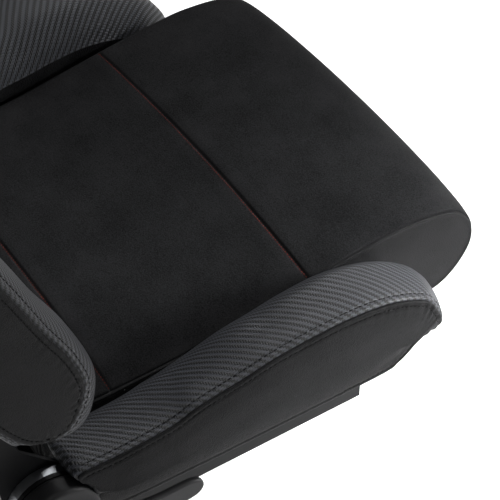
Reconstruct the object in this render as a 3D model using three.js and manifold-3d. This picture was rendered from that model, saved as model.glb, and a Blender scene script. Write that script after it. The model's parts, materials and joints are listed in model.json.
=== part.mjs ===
// Reclining sport seat on slide rails: steel base, cushion, reclining backrest and hand controls.
// Millimetres, +Z up. The seat faces -Y, so an occupant's right hand is on the -X side.
// Outlines are written as [forward, up]: forward is -Y, and 0 is the cushion's front sewn channel.
import * as THREE from "three";
import { mergeVertices } from "three/addons/utils/BufferGeometryUtils.js";
import Module from "manifold-3d";

const wasm = await Module();
wasm.setup();

// ---- driving dimensions ----
const GAP = 0.4; // left between touching pieces
const SHEET = 2.5; // pressed steel thickness

const PIVOT_F = -300; // recliner axis, forward of the front sewn channel
const PIVOT_Z = 110; // recliner axis above the floor
const RECLINE = THREE.MathUtils.degToRad(25); // backrest's rest angle behind vertical

const PAD_HALF = 185; // half-width of both centre pads
const BOLSTER_IN = 191; // inner face of a bolster
const BOLSTER_OUT = 276; // outer face of a bolster

const RAIL_X = 175; // centre of a slide rail
const RAIL_W = 42;
const RAIL_H = 26;
const RAIL_FRONT = 90;
const RAIL_REAR = -300;
const RAIL_WALL = 3;
const FOOT_W = 30; // upper rail's foot, inside the lower rail
const NECK_W = 10;
const SLOT_W = 16; // slot in the lower rail's top
const UPPER_TOP = 40; // upper rail's top face
const UPPER_FRONT = 82;
const UPPER_REAR = -255;

const FRAME_OUT = 253; // side frame's outer face
const FRAME_IN = 229;
const FRAME_LOW = 45;
const FRAME_HIGH = 68;
const FRAME_FRONT = 10.5;
const FRAME_REAR = -336;

const CROSS_LOW = UPPER_TOP + GAP;
const CROSS_HIGH = 61;
const FRONT_CROSS = [-38, -2]; // rear and front edge, forward
const REAR_CROSS = [-292, -262];

const PAN_HALF = 180;
const SPRING_WIRE = 1.8; // radius
const SPRING_Z = CROSS_HIGH + GAP + SPRING_WIRE;

const TUBE_R = 12.5; // back frame tube
const TUBE_WALL = 2;
const UPRIGHT_X = 225.5;
const CROSS_TUBE_R = 8;
const PAD_BACK = 14.5; // rear face of the back pads, ahead of the tube plane

const SHELL = [-28, -15.5]; // rear cover, rear and front face
const SLOT = { x: 92, w: 556, halfW: 42, halfH: 20, wall: 6 }; // harness slots

const RECLINER_R = 34;
const PLATE = 4;
const UPPER_PLATE_X = 238.6;
const DISC_X = UPPER_PLATE_X + PLATE + GAP;
const LOWER_PLATE_X = FRAME_OUT + GAP;
const COVER_X = LOWER_PLATE_X + PLATE + GAP;
const COVER_OUT = 278.5;
const LEVER_X = COVER_OUT + 1;
const LEVER_T = 8;
const ROD_R = 5;

const BAR_R = 5; // slide release bar
const BAR_X = 132;
const BAR_Z = 18;
const BAR_FRONT = 135;
const LATCH_F = -20; // release bar's pivot
const LATCH_Z = 21;
const PIN_R = 4;

// ---- materials ----
const standard = (color, roughness, metalness) =>
  new THREE.MeshStandardMaterial({ color, roughness, metalness });
const MATERIAL = {
  suede: standard(0x222224, 0.95, 0),
  leather: standard(0x2b2b2e, 0.5, 0),
  carbon: standard(0x4a4c50, 0.4, 0),
  steel: standard(0x202123, 0.45, 1),
  zinc: standard(0x8d9094, 0.4, 1),
  plastic: standard(0x18181a, 0.6, 0),
};

// ---- shape helpers ----
const outline = (points) => new THREE.Shape(points.map(([a, b]) => new THREE.Vector2(a, b)));

const hole = (points) => new THREE.Path(points.map(([a, b]) => new THREE.Vector2(a, b)));

// Points along an arc about (a, b), from one angle to another, both ends included.
function arc(a, b, radius, from, to, steps) {
  return Array.from({ length: steps + 1 }, (_, i) => {
    const angle = from + ((to - from) * i) / steps;
    return [a + radius * Math.cos(angle), b + radius * Math.sin(angle)];
  });
}

const circle = (a, b, radius, count) => arc(a, b, radius, 0, 2 * Math.PI, count).slice(0, -1);

// A rectangle with rounded corners, centred on (a, b).
function roundedBox(a, b, halfA, halfB, radius) {
  const corners = [[1, -1], [1, 1], [-1, 1], [-1, -1]];
  return corners.flatMap(([signA, signB], i) => arc(
    a + signA * (halfA - radius), b + signB * (halfB - radius), radius,
    ((i - 1) * Math.PI) / 2, (i * Math.PI) / 2, 4));
}

function pierce(shape, points) {
  shape.holes.push(hole(points));
  return shape;
}

// Extrudes a shape by a depth, with its edges rounded by bevel inside the outline.
function extrude(shape, depth, bevel = 0, bevelSegments = 2) {
  return new THREE.ExtrudeGeometry(shape, {
    depth: depth - 2 * bevel,
    steps: 1,
    bevelEnabled: bevel > 0,
    bevelThickness: bevel,
    bevelSize: bevel,
    bevelOffset: -bevel,
    bevelSegments,
  }).translate(0, 0, bevel);
}

const AXES = {
  x: new THREE.Vector3(1, 0, 0),
  y: new THREE.Vector3(0, 1, 0),
  z: new THREE.Vector3(0, 0, 1),
};
const BACKWARD = AXES.y;
const FORWARD = new THREE.Vector3(0, -1, 0);

const mirrored = (points) => points.map(([a, b]) => [-a, b]);

// A side-view outline [forward, up], extruded across the seat from xLow to xHigh.
function across(shapeOf, xLow, xHigh, bevel) {
  const turn = new THREE.Matrix4().makeBasis(BACKWARD, AXES.z, AXES.x);
  return extrude(shapeOf, xHigh - xLow, bevel).applyMatrix4(turn).translate(xLow, 0, 0);
}
const side = (points) => outline(mirrored(points));

// Cuts a round hole of a given radius about (f, z) in a side-view shape.
const bore = (shape, f, z, radius) => pierce(shape, circle(-f, z, radius, 16));

// A front-view outline [x, up], extruded forward from fLow to fHigh.
function forward(shape, fLow, fHigh, bevel) {
  const turn = new THREE.Matrix4().makeBasis(AXES.x, AXES.z, FORWARD);
  return extrude(shape, fHigh - fLow, bevel).applyMatrix4(turn).translate(0, -fLow, 0);
}

// The same stretch of x on the seat's right (sign -1) or left (sign 1).
const span = (sign, xNear, xFar) => (sign < 0 ? [-xFar, -xNear] : [xNear, xFar]);

const at = (x, f, z) => new THREE.Vector3(x, -f, z);

// A path of straight runs with its corners rounded by arcs that start `bend` before each corner.
function bentPath(points, bend) {
  const path = new THREE.CurvePath();
  let from = points[0];
  for (let i = 1; i < points.length - 1; i++) {
    const corner = points[i];
    const inward = corner.clone().lerp(points[i - 1], bend / corner.distanceTo(points[i - 1]));
    const outward = corner.clone().lerp(points[i + 1], bend / corner.distanceTo(points[i + 1]));
    path.add(new THREE.LineCurve3(from, inward));
    path.add(new THREE.QuadraticBezierCurve3(inward, corner, outward));
    from = outward;
  }
  path.add(new THREE.LineCurve3(from, points.at(-1)));
  return path;
}

// A round bar along a path, or a tube when wall is given.
function roundBar(path, radius, steps, sides, wall = 0) {
  const section = outline(circle(0, 0, radius, sides));
  if (wall) pierce(section, circle(0, 0, radius - wall, sides));
  return new THREE.ExtrudeGeometry(section, { steps, extrudePath: path });
}

// A geometry as a manifold solid, for joins and cuts.
function solid(geometry) {
  const bare = new THREE.BufferGeometry();
  const flat = geometry.index ? geometry.toNonIndexed() : geometry;
  bare.setAttribute("position", flat.getAttribute("position"));
  const merged = mergeVertices(bare, 1e-3);
  return new wasm.Manifold(new wasm.Mesh({
    numProp: 3,
    vertProperties: merged.attributes.position.array,
    triVerts: new Uint32Array(merged.index.array),
  }));
}

function geometryOf(body) {
  const mesh = body.getMesh();
  const geometry = new THREE.BufferGeometry();
  geometry.setAttribute("position", new THREE.BufferAttribute(mesh.vertProperties, 3));
  geometry.setIndex(new THREE.BufferAttribute(mesh.triVerts, 1));
  geometry.computeVertexNormals();
  return geometry;
}

const join = (a, b) => geometryOf(solid(a).add(solid(b)));

// ---- assembly ----
const seat = new THREE.Group();
const backrest = new THREE.Group();
backrest.position.copy(at(0, PIVOT_F, PIVOT_Z));
backrest.rotation.x = -RECLINE;
seat.add(backrest);

function place(name, geometry, material, parent = seat) {
  const mesh = new THREE.Mesh(geometry, material);
  mesh.name = name;
  parent.add(mesh);
}

const SIDES = [["right", -1], ["left", 1]];

// ---- slide rails ----
// Lower rail: an open-topped channel with two lips. Upper rail: a foot in that channel, a neck
// through its slot and a flange on top.
function lowerRail(centre) {
  const w = RAIL_W / 2;
  const inner = w - RAIL_WALL;
  const lip = RAIL_H - RAIL_WALL;
  const half = [[w, 0], [w, RAIL_H], [SLOT_W / 2, RAIL_H], [SLOT_W / 2, lip], [inner, lip], [inner, RAIL_WALL]];
  const section = outline([...half, ...mirrored(half).reverse()]);
  return forward(section, RAIL_REAR, RAIL_FRONT).translate(centre, 0, 0);
}

function upperRail(centre) {
  const footLow = RAIL_WALL + 2;
  const footHigh = RAIL_H - RAIL_WALL - 2;
  const neck = NECK_W / 2;
  const flange = RAIL_W / 2 - 3;
  const half = [
    [FOOT_W / 2, footLow], [FOOT_W / 2, footHigh], [neck, footHigh],
    [neck, UPPER_TOP - 4], [flange, UPPER_TOP - 4], [flange, UPPER_TOP],
  ];
  const section = outline([...half, ...mirrored(half).reverse()]);
  return forward(section, UPPER_REAR, UPPER_FRONT).translate(centre, 0, 0);
}

for (const [name, sign] of SIDES) {
  place(`lower_rail_${name}`, lowerRail(sign * RAIL_X), MATERIAL.zinc);
  place(`upper_rail_${name}`, upperRail(sign * RAIL_X), MATERIAL.zinc);
}

// ---- base frame ----
// Side frame: a C channel open towards the middle, with a square front end.
function sideFrame(sign) {
  const points = [
    [FRAME_IN, FRAME_LOW], [FRAME_OUT, FRAME_LOW], [FRAME_OUT, FRAME_HIGH], [FRAME_IN, FRAME_HIGH],
    [FRAME_IN, FRAME_HIGH - SHEET], [FRAME_OUT - SHEET, FRAME_HIGH - SHEET],
    [FRAME_OUT - SHEET, FRAME_LOW + SHEET], [FRAME_IN, FRAME_LOW + SHEET],
  ];
  return forward(outline(points.map(([x, z]) => [sign * x, z])), FRAME_REAR, FRAME_FRONT);
}

// Cross-member: a hat channel, open below.
function crossMember([rear, front]) {
  const shape = side([
    [rear, CROSS_LOW], [rear, CROSS_HIGH], [front, CROSS_HIGH], [front, CROSS_LOW],
    [front - SHEET, CROSS_LOW], [front - SHEET, CROSS_HIGH - SHEET],
    [rear + SHEET, CROSS_HIGH - SHEET], [rear + SHEET, CROSS_LOW],
  ]);
  return across(shape, -FRAME_IN + GAP, FRAME_IN - GAP);
}

for (const [name, sign] of SIDES) {
  place(`side_frame_${name}`, sideFrame(sign), MATERIAL.steel);
}
place("front_cross_member", crossMember(FRONT_CROSS), MATERIAL.steel);
place("rear_cross_member", crossMember(REAR_CROSS), MATERIAL.steel);

// Seat pan under the front of the cushion, its front edge turned down.
const panLow = CROSS_HIGH + GAP;
const panShape = side([
  [FRONT_CROSS[0] + 8, panLow], [FRONT_CROSS[0] + 8, panLow + SHEET], [98, panLow + SHEET],
  [106, panLow - 1], [111, 50], [108.5, 49], [103, panLow - 3], [97, panLow],
]);
place("front_seat_pan", across(panShape, -PAN_HALF, PAN_HALF), MATERIAL.steel);

// Zigzag springs, from the rear cross-member to just behind the pan.
function zigzag(centre, along, halfAcross, waves) {
  const [start, end] = along;
  const points = [];
  for (let i = 0; i <= 2 * waves; i++) {
    const t = i / (2 * waves);
    const swing = i === 0 || i === 2 * waves ? 0 : halfAcross * (i % 2 ? 1 : -1);
    points.push(centre(start + (end - start) * t, swing));
  }
  return roundBar(new THREE.CatmullRomCurve3(points), SPRING_WIRE, 14 * waves, 5);
}

const SPRING_ROWS = [-126, -42, 42, 126];
SPRING_ROWS.forEach((x, i) => {
  const path = (f, swing) => at(x + swing, f, SPRING_Z);
  const wire = zigzag(path, [REAR_CROSS[0] + 8, FRONT_CROSS[0] + 4], 19, 4);
  place(`cushion_spring_${i + 1}`, wire, MATERIAL.zinc);
});

// ---- cushion ----
const cushionPad = side([
  [-283, 78], [-283, 112], [-272, 121], [-201, 128], [-102, 137], [0, 147], [60, 154],
  [100, 157], [132, 153], [160, 142], [179, 125], [186, 104], [180, 76], [164, 57], [146, 46],
  [130, 47], [118, 66], [100, 69], [-272, 69],
]);
place("cushion_center_pad", across(cushionPad, -PAD_HALF, PAD_HALF, 8), MATERIAL.suede);

const cushionBolster = side([
  [-262, 82], [-262, 122], [-252, 144], [-232, 152], [-187, 160], [-110, 176], [-41, 184],
  [0, 183], [34, 176], [64, 161], [90, 140], [108, 116], [110, 98], [101, 83], [80, 73],
  [50, 70], [-250, 70],
]);
for (const [name, sign] of SIDES) {
  const bolster = across(cushionBolster, ...span(sign, BOLSTER_IN, BOLSTER_OUT), 9);
  place(`cushion_bolster_${name}`, bolster, MATERIAL.carbon);
}

// ---- recliners ----
const HEAD_STEPS = 14;
const upperHalf = (radius) => arc(PIVOT_F, PIVOT_Z, radius, 0, Math.PI, HEAD_STEPS);
const lowerPlate = [
  ...upperHalf(RECLINER_R), [PIVOT_F - RECLINER_R, FRAME_LOW], [PIVOT_F + RECLINER_R, FRAME_LOW],
];
const COVER_R = 36.5;
const coverShape = [
  ...upperHalf(COVER_R),
  [PIVOT_F - COVER_R, 56], [PIVOT_F - COVER_R + 8, 48],
  [PIVOT_F + COVER_R - 8, 48], [PIVOT_F + COVER_R, 56],
];
const upperPlate = [
  ...arc(0, 0, RECLINER_R, -Math.PI, 0, HEAD_STEPS), [14, 60], [14, 152], [-14, 152], [-14, 60],
];
const discShape = circle(PIVOT_F, PIVOT_Z, RECLINER_R - 2, 2 * HEAD_STEPS);

// Lever: a round hub and an arm that runs forward to a rounded grip.
const LEVER_HUB = 17;
const leverShape = [
  ...upperHalf(LEVER_HUB), [PIVOT_F - LEVER_HUB + 3, PIVOT_Z - 8],
  [PIVOT_F - 8, PIVOT_Z - LEVER_HUB + 1], [PIVOT_F + 8, PIVOT_Z - LEVER_HUB],
  [-205, 71], [-180, 71], [-172, 78], [-174, 88], [-184, 93], [-215, 94], [PIVOT_F + 26, PIVOT_Z - 1],
];

for (const [name, sign] of SIDES) {
  const plate = bore(side(lowerPlate), PIVOT_F, PIVOT_Z, ROD_R + 2);
  place(`recliner_lower_plate_${name}`,
    across(plate, ...span(sign, LOWER_PLATE_X, LOWER_PLATE_X + PLATE)), MATERIAL.steel);

  const disc = bore(side(discShape), PIVOT_F, PIVOT_Z, ROD_R + 1);
  place(`recliner_disc_${name}`,
    across(disc, ...span(sign, DISC_X, FRAME_OUT)), MATERIAL.zinc);

  const cover = bore(side(coverShape), PIVOT_F, PIVOT_Z, ROD_R + 2);
  place(`recliner_cover_${name}`,
    across(cover, ...span(sign, COVER_X, COVER_OUT)), MATERIAL.plastic);

  const upper = bore(side(upperPlate), 0, 0, ROD_R + 2);
  place(`recliner_upper_plate_${name}`,
    across(upper, ...span(sign, UPPER_PLATE_X, UPPER_PLATE_X + PLATE)), MATERIAL.steel, backrest);

  const lever = bore(side(leverShape), PIVOT_F, PIVOT_Z, ROD_R + GAP);
  place(`recliner_lever_${name}`,
    across(lever, ...span(sign, LEVER_X, LEVER_X + LEVER_T), 2), MATERIAL.plastic);
}

const rodEnd = LEVER_X + LEVER_T;
const rodPath = new THREE.LineCurve3(at(-rodEnd, PIVOT_F, PIVOT_Z), at(rodEnd, PIVOT_F, PIVOT_Z));
place("recliner_sync_rod", roundBar(rodPath, ROD_R, 1, 16), MATERIAL.zinc);

// ---- backrest frame ----
for (const [name, sign] of SIDES) {
  const path = bentPath([
    at(sign * UPRIGHT_X, 0, 46), at(sign * UPRIGHT_X, 0, 440),
    at(sign * 172, 0, 590), at(sign * 100, 0, 690), at(sign * 92, 0, 722),
  ], 34);
  place(`back_frame_tube_${name}`, roundBar(path, TUBE_R, 26, 12, TUBE_WALL), MATERIAL.steel, backrest);
}

function straightTube(halfLength, w, radius) {
  const path = new THREE.LineCurve3(at(-halfLength, 0, w), at(halfLength, 0, w));
  return roundBar(path, radius, 1, 12, TUBE_WALL);
}
const insideUpright = UPRIGHT_X - TUBE_R - GAP;
place("back_cross_tube_lower", straightTube(insideUpright, 100, CROSS_TUBE_R), MATERIAL.steel, backrest);
place("back_cross_tube_middle", straightTube(insideUpright, 345, CROSS_TUBE_R), MATERIAL.steel, backrest);
place("back_cross_tube_upper", straightTube(insideUpright - 22, 480, CROSS_TUBE_R), MATERIAL.steel, backrest);
place("back_frame_top_tube", straightTube(78, 712, CROSS_TUBE_R + 2), MATERIAL.steel, backrest);

const BACK_SPRING_ROWS = [160, 225, 290];
BACK_SPRING_ROWS.forEach((w, i) => {
  const path = (x, swing) => at(x, 0, w + swing);
  const wire = zigzag(path, [-insideUpright + SPRING_WIRE, insideUpright - SPRING_WIRE], 19, 5);
  place(`back_spring_${i + 1}`, wire, MATERIAL.zinc, backrest);
});

// ---- backrest upholstery ----
const backPad = outline([
  [-172, 24], [172, 24], [PAD_HALF, 40], [PAD_HALF, 392], [156, 415], [156, 488], [146, 498],
  [-146, 498], [-156, 488], [-156, 415], [-PAD_HALF, 392], [-PAD_HALF, 40],
]);
place("back_center_pad", forward(backPad, PAD_BACK, 58, 7), MATERIAL.suede, backrest);

// The upper pad and the rear cover are both pierced by the two harness slots.
function withHarnessSlots(shape) {
  const clear = SLOT.wall + GAP;
  for (const sign of [-1, 1]) {
    pierce(shape, roundedBox(sign * SLOT.x, SLOT.w, SLOT.halfW + clear, SLOT.halfH + clear, 12));
  }
  return shape;
}
const upperPad = outline([
  [-156, 502], [156, 502], [156, 585], [138, 606], [-138, 606], [-156, 585],
]);
place("back_upper_pad", forward(withHarnessSlots(upperPad), PAD_BACK, 40), MATERIAL.suede, backrest);

const rearCoverHalf = [
  [206, 16], [222, 40], [226, 380], [248, 450], [256, 520], [240, 575], [180, 625], [126, 705],
  [118, 745], [98, 768],
];
const rearCover = outline([
  ...rearCoverHalf, ...mirrored(rearCoverHalf).reverse(),
]);
place("back_rear_cover", forward(withHarnessSlots(rearCover), ...SHELL), MATERIAL.leather, backrest);

for (const [name, sign] of SIDES) {
  const ring = outline(roundedBox(
    sign * SLOT.x, SLOT.w, SLOT.halfW + SLOT.wall, SLOT.halfH + SLOT.wall, 11));
  pierce(ring, roundedBox(sign * SLOT.x, SLOT.w, SLOT.halfW, SLOT.halfH, 7));
  place(`harness_bezel_${name}`, forward(ring, -31, 43), MATERIAL.plastic, backrest);
}

// Back bolster: its lower end curves round the recliner axis, so that the backrest can come forward.
const backBolster = side([
  [PAD_BACK, 94], [42, 82], [66, 60], [80, 56], [93, 66], [101, 90], [107, 125], [108, 200],
  [107, 320], [98, 368], [76, 400], [PAD_BACK, 408],
]);
for (const [name, sign] of SIDES) {
  const bolster = across(backBolster, ...span(sign, BOLSTER_IN, BOLSTER_OUT), 7);
  place(`back_bolster_${name}`, bolster, MATERIAL.carbon, backrest);
}

const shoulder = [
  [162, 424], [186, 414], [258, 418], [274, 450], [280, 505], [266, 565], [234, 600], [188, 614],
  [163, 606],
];
for (const [name, sign] of SIDES) {
  const wing = outline(shoulder.map(([x, w]) => [sign * x, w]));
  place(`shoulder_bolster_${name}`, forward(wing, PAD_BACK, 84, 10), MATERIAL.carbon, backrest);
}

const headrest = outline([
  [-128, 612], [128, 612], [140, 640], [128, 700], [118, 745], [96, 772], [-96, 772],
  [-118, 745], [-128, 700], [-140, 640],
]);
place("headrest_pad", forward(headrest, PAD_BACK, 78, 10), MATERIAL.suede, backrest);

// ---- slide release ----
// Bracket: a plate hanging from the front cross-member, with the pin that the latch arm turns on.
const ARM_X = BAR_X + BAR_R + GAP;
const ARM_T = 3;
for (const [name, sign] of SIDES) {
  const bracket = side([
    [LATCH_F - 12, LATCH_Z - 9], [LATCH_F + 12, LATCH_Z - 9],
    [LATCH_F + 14, CROSS_LOW - GAP], [LATCH_F - 14, CROSS_LOW - GAP],
  ]);
  const pin = new THREE.LineCurve3(
    at(sign * (BAR_X - 9), LATCH_F, LATCH_Z), at(sign * (ARM_X + ARM_T + 3), LATCH_F, LATCH_Z));
  const plate = across(bracket, ...span(sign, BAR_X - 11, BAR_X - 8));
  place(`latch_bracket_${name}`, join(plate, roundBar(pin, PIN_R, 1, 12)), MATERIAL.steel);

  const arm = side([
    [LATCH_F - 22, LATCH_Z - 3], [LATCH_F - 22, LATCH_Z + 5], [LATCH_F - 6, LATCH_Z + 9],
    [LATCH_F + 6, LATCH_Z + 9], [36, BAR_Z + 6], [36, BAR_Z - 6], [LATCH_F, LATCH_Z - 9],
  ]);
  bore(arm, LATCH_F, LATCH_Z, PIN_R + GAP);
  place(`release_arm_${name}`, across(arm, ...span(sign, ARM_X, ARM_X + ARM_T)), MATERIAL.steel);
}
const barPath = bentPath([
  at(-BAR_X, -4, BAR_Z), at(-BAR_X, BAR_FRONT, BAR_Z), at(BAR_X, BAR_FRONT, BAR_Z),
  at(BAR_X, -4, BAR_Z),
], 20);
place("release_bar", roundBar(barPath, BAR_R, 46, 8), MATERIAL.plastic);

// ---- origin: the middle of the footprint, on the floor ----
const box = new THREE.Box3().setFromObject(seat, true);
const middle = box.getCenter(new THREE.Vector3());
seat.position.set(-middle.x, -middle.y, -box.min.z);

export default seat;
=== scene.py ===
import json
import math

import bmesh
import bpy
import numpy as np
from mathutils import Matrix, Vector


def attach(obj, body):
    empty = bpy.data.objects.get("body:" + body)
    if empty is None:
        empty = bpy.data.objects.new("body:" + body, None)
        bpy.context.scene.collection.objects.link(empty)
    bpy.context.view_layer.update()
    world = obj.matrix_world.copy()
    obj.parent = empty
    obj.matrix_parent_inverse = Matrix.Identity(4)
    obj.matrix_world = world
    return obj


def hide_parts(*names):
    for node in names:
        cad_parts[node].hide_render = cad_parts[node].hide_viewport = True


# Reclining sport seat: upholstery, trim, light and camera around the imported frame.
# Cushion shapes are (forward, across, up) in millimetres, forward counted from the front sewn
# channel. Backrest shapes are (forward, across, up) along the backrest, from the recliner axis.

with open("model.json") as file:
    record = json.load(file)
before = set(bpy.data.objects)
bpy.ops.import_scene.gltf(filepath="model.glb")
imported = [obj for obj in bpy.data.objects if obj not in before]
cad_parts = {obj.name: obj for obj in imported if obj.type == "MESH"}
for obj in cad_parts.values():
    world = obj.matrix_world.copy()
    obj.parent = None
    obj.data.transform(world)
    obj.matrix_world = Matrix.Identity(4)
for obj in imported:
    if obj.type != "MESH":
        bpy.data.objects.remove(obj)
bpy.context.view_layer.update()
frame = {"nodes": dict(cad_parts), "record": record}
joints = {joint["name"]: joint for joint in frame["record"]["behaviour"]["joints"]}

MM = 0.001
CLOTH_ROW, CLOTH_COLUMN = 9, 8  # millimetres between the coarse skin's rows and columns
CLOTH_FRAMES = 20
THREAD_ROW = 7.0  # each thread row's distance from a bolster's crease
BLACK_STITCH = (5.0, 3.6, 0.5)  # pitch, length and thread radius
RED_STITCH = (3.2, 2.1, 0.38)
BACK_SWELL = 2.5
PIVOT_Y, PIVOT_Z = joints["backrest_recline"]["pos_m"][1:]
PIVOT_FORWARD = -300.0
LEAN = math.radians(25)
CHANNEL_PITCH = 201.0  # between sewn channels
SIDES = (("right", -1), ("left", 1))


# ---- where things are ----
def seat(forward, across, up):
    """Seat position to metres: forward runs along -Y, across along +X, up along +Z."""
    y = PIVOT_Y - (forward - PIVOT_FORWARD) * MM
    return np.stack(np.broadcast_arrays(across * MM, y, up * MM), -1)


def back(forward, across, up):
    """Backrest position to metres: turned back by LEAN about the recliner axis."""
    y = PIVOT_Y + (up * math.sin(LEAN) - forward * math.cos(LEAN)) * MM
    z = PIVOT_Z + (up * math.cos(LEAN) + forward * math.sin(LEAN)) * MM
    return np.stack(np.broadcast_arrays(across * MM, y, z), -1)


def back_front_view(across, forward, up):
    """Backrest position for a piece drawn in front view: depth is its third direction."""
    return back(forward, across, up)


# ---- curves ----
def catmull(points, t):
    """Catmull-Rom curve through points (k, ...) at parameters t in 0..k-1, ends repeated."""
    points = np.asarray(points, float)
    last = len(points) - 1
    i = np.clip(np.floor(t).astype(int), 0, last - 1)
    f = (t - i).reshape(-1, *[1] * (points.ndim - 1))
    a, b, c, d = (points[np.clip(i + k, 0, last)] for k in (-1, 0, 1, 2))
    return b + 0.5 * f * (c - a + f * (2 * a - 5 * b + 4 * c - d + f * (3 * (b - c) + d - a)))


def run_of(line):
    """Length run along a line, from 0."""
    return np.concatenate([[0], np.cumsum(np.linalg.norm(np.diff(line, axis=0), axis=1))])


def spread(line, count, busy=()):
    """count points along a dense line, both ends kept, three times closer near each busy point."""
    run = run_of(line)
    weight = np.ones(len(line))
    for point in busy:
        weight += 3.5 * bump(np.linalg.norm(line - np.array(point), axis=1), 12)
    load = np.concatenate([[0], np.cumsum((weight[1:] + weight[:-1]) / 2 * np.diff(run))])
    at = np.interp(np.linspace(0, load[-1], count), load, run)
    return np.stack([np.interp(at, run, line[:, k]) for k in range(line.shape[1])], 1)


def outline(points, tip, half, busy=()):
    """Closed smooth outline through points: half steps from the first point over the top to
    points[tip], and half back under it. Point j's partner across the outline is point -j."""
    points = np.asarray(points, float)
    count = len(points)
    wrapped = np.concatenate([points[-2:], points, points[:3]])
    dense = catmull(wrapped, np.linspace(2, count + 2, 40 * count + 1))
    there, home = dense[: 40 * tip + 1], dense[40 * tip:]
    return np.concatenate([spread(there, half + 1, busy)[:-1], spread(home, half + 1, busy)[:-1]])


def mirrored(half_points):
    """Outline points from one half, right side first: down the right side and up the left."""
    down = np.asarray(half_points, float)
    return np.concatenate([down, down[-2:0:-1] * [-1, 1]])


def smooth(a, b, x):
    """0 at a and beyond, 1 at b and beyond, an even S between."""
    t = np.clip((x - a) / (b - a), 0, 1)
    return t * t * (3 - 2 * t)


def bump(distance, width):
    """1 at 0, falling off like a bell over width."""
    return np.exp(-((distance / width) ** 2))


def waves(s, pitches, seed):
    """The mean of sines of the given pitches with seeded phases: uneven, the same each run."""
    turns = np.random.default_rng(seed).uniform(0, 2 * math.pi, len(pitches))
    return sum(np.sin(2 * math.pi * s / p + a) for p, a in zip(pitches, turns)) / len(pitches)


# ---- skins ----
def spine_of(line, margin):
    """Middle line of a closed outline: halfway between partners, stopped margin short of
    both ends, so that a panel's rings fan round them."""
    half = len(line) // 2
    middle = ((line + line[-np.arange(len(line))]) / 2)[: half + 1]
    run = run_of(middle)
    at = np.clip(run, margin, run[-1] - margin)
    middle = np.stack([np.interp(at, run, middle[:, k]) for k in range(2)], 1)
    return np.concatenate([middle, middle[half - 1:0:-1]])


def outward(line):
    """Unit normals of a closed outline that runs clockwise, pointing out of it."""
    along = np.roll(line, -1, axis=0) - np.roll(line, 1, axis=0)
    normal = np.stack([-along[:, 1], along[:, 0]], 1)
    return normal / np.linalg.norm(normal, axis=1, keepdims=True)


def rings_of(segments, first, second, lift, margin, tuck=0.0):
    """Rings of a boxed cushion, (ring, point, 3) in millimetres, and each seam's ring number.
    A key is (depth, mix, lift, share): a ring at that depth, on the outline mixed between
    first and second, lifted outwards by lift times the lift mask, and shrunk towards the spine
    to share of its size; tuck draws the outline's points in towards the least depth by that
    share. Each segment is a smooth curve through its keys, sampled closer
    towards its seams, and segments meet in a seam."""
    rows = []
    for keys, count, crowd in segments:
        x = np.linspace(0, 1, count)
        t = {"end": 1 - (1 - x) ** 2, "start": x ** 2, "both": smooth(0, 1, x)}[crowd]
        rows.append(catmull(np.array(keys, float), t * (len(keys) - 1)))
    seams = np.cumsum([len(part) - 1 for part in rows])[:-1]
    keys = np.concatenate([rows[0]] + [part[1:] for part in rows[1:]])
    depth, mix, raised, share = (keys[:, k, None, None] for k in range(4))
    line = first + (second - first) * mix
    spines = spine_of(first, margin), spine_of(second, margin)
    spine = spines[0] + (spines[1] - spines[0]) * mix
    normal = outward(first) + (outward(second) - outward(first)) * mix
    flat = spine + (line - spine) * share + normal * raised * lift[None, :, None]
    depth = np.broadcast_to(depth - (depth - keys[:, 0].min()) * np.reshape(tuck, (-1, 1)),
                            flat[..., :1].shape)
    return np.concatenate([flat[..., :1], depth, flat[..., 1:]], -1), seams


def normals_of(grid):
    """Unit normals of a grid of rings, turned outwards."""
    around = np.roll(grid, -1, axis=1) - np.roll(grid, 1, axis=1)
    normal = np.cross(np.gradient(grid, axis=0), around)
    normal /= np.linalg.norm(normal, axis=-1, keepdims=True) + 1e-12
    centre = grid.reshape(-1, 3).mean(0)
    return normal * np.sign(np.sum(normal * (grid - centre)))


def across_run(grid, seam):
    """Millimetres across the rings at each point, counted from the seam ring."""
    step = np.linalg.norm(np.diff(grid, axis=0), axis=-1) / MM
    run = np.concatenate([np.zeros((1, grid.shape[1])), np.cumsum(step, axis=0)])
    return run - run[seam]


def around_run(grid, ring):
    """Millimetres along one ring, a value more than it has points."""
    closed = np.concatenate([grid[ring], grid[ring, :1]])
    return run_of(closed) / MM


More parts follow.
